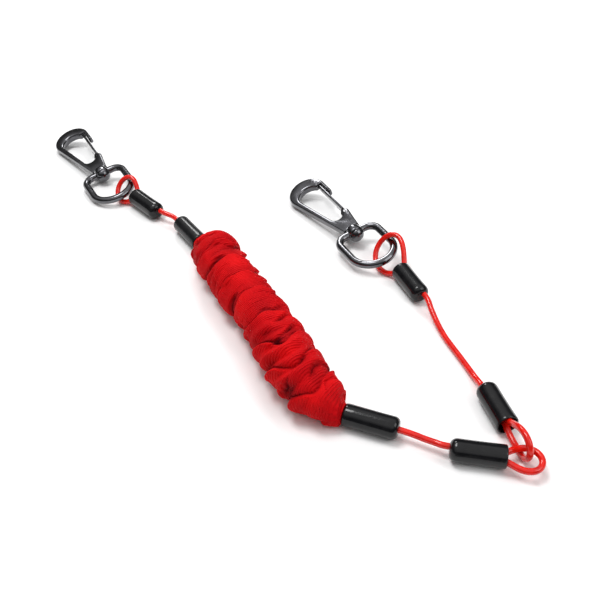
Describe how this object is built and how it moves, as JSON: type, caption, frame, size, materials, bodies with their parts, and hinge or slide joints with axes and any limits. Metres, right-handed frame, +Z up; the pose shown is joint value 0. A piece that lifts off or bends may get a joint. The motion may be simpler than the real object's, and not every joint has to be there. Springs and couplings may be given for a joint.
{
  "type": "stretch safety tether",
  "caption": "Stretch tether: coated wire cable in linked loops, gathered webbing sleeve over an elastic core, and a swivel snap hook with a sprung gate at each end.",
  "frame": {"origin": "on the ground, below the middle of the box round the tether without its cables", "axes": "+Z is up from the ground, +Y runs along the longest side of the laid-out tether, and the two hooks point away along +Y; +X is to the right of it"},
  "size_m": [0.2688, 0.2893, 0.0258],
  "materials": {
    "dark_metal": "polished black nickel plating",
    "plain_steel": "plain steel wire and pins",
    "ferrule_metal": "swaged aluminium",
    "cover_plastic": "glossy black moulding",
    "cable_coat": "clear red coat over wire",
    "webbing": "ribbed red webbing",
    "core_rubber": "natural elastic cord"
  },
  "bodies": {
    "near_leg": {"short_cable": "cable_coat", "hook_cover_a": "cover_plastic", "hook_ferrule_a": "ferrule_metal", "sleeve_cap_a": "cover_plastic", "splice_ferrule_a": "ferrule_metal", "webbing_sleeve": "webbing", "elastic_core": "core_rubber"},
    "middle_leg": {"sleeve_cap_b": "cover_plastic", "splice_ferrule_b": "ferrule_metal", "link_cable": "cable_coat", "link_cover_a": "cover_plastic", "link_ferrule_a": "ferrule_metal"},
    "far_leg": {"link_cover_b": "cover_plastic", "link_ferrule_b": "ferrule_metal", "long_cable": "cable_coat", "hook_cover_b": "cover_plastic", "hook_ferrule_b": "ferrule_metal"},
    "eye_a": {"swivel_eye_a": "dark_metal"},
    "snap_a": {"hook_body_a": "dark_metal", "gate_pin_a": "plain_steel", "gate_spring_a": "plain_steel", "swivel_stud_a": "dark_metal"},
    "latch_a": {"gate_a": "dark_metal"},
    "eye_b": {"swivel_eye_b": "dark_metal"},
    "snap_b": {"hook_body_b": "dark_metal", "gate_pin_b": "plain_steel", "gate_spring_b": "plain_steel", "swivel_stud_b": "dark_metal"},
    "latch_b": {"gate_b": "dark_metal"}
  },
  "joints": [
    {"name": "sleeve_stretch", "type": "slide", "parent": "near_leg", "child": "middle_leg", "axis": [0.5076, -0.8616, 0], "range_m": [0, 0.09], "stiffness_N_per_m": 150, "deforming": ["webbing_sleeve", "elastic_core"]},
    {"name": "link_swing", "type": "hinge", "parent": "middle_leg", "child": "far_leg", "pos_m": [0.13252, -0.13874, 0.00525], "axis": [0, 0, 1], "range_deg": [-115, 12]},
    {"name": "eye_flap_a", "type": "hinge", "parent": "near_leg", "child": "eye_a", "pos_m": [-0.07083, 0.06946, 0.00704], "axis": [0.3774, 0.9087, 0.1786], "range_deg": [0, 25]},
    {"name": "hook_swivel_a", "type": "hinge", "parent": "eye_a", "child": "snap_a", "pos_m": [-0.09058, 0.09106, 0.0063], "axis": [-0.4999, 0.8658, 0.0209], "continuous": true},
    {"name": "gate_swing_a", "type": "hinge", "parent": "snap_a", "child": "latch_a", "pos_m": [-0.09456, 0.10627, 0.00805], "axis": [-0.2721, -0.1799, 0.9453], "range_deg": [0, 25], "stiffness_Nm_per_rad": 0.02, "springref_deg": -28.65, "deforming": ["gate_spring_a"]},
    {"name": "eye_flap_b", "type": "hinge", "parent": "far_leg", "child": "eye_b", "pos_m": [0.08471, 0.00304, 0.0092], "axis": [0.3196, 0.9351, 0.1533], "range_deg": [0, 25]},
    {"name": "hook_swivel_b", "type": "hinge", "parent": "eye_b", "child": "snap_b", "pos_m": [0.06676, 0.02384, 0.0079], "axis": [-0.4695, 0.8829, 0], "continuous": true},
    {"name": "gate_swing_b", "type": "hinge", "parent": "snap_b", "child": "latch_b", "pos_m": [0.06322, 0.03917, 0.00955], "axis": [-0.3308, -0.1759, 0.9272], "range_deg": [0, 25], "stiffness_Nm_per_rad": 0.02, "springref_deg": -28.65, "deforming": ["gate_spring_b"]}
  ]
}
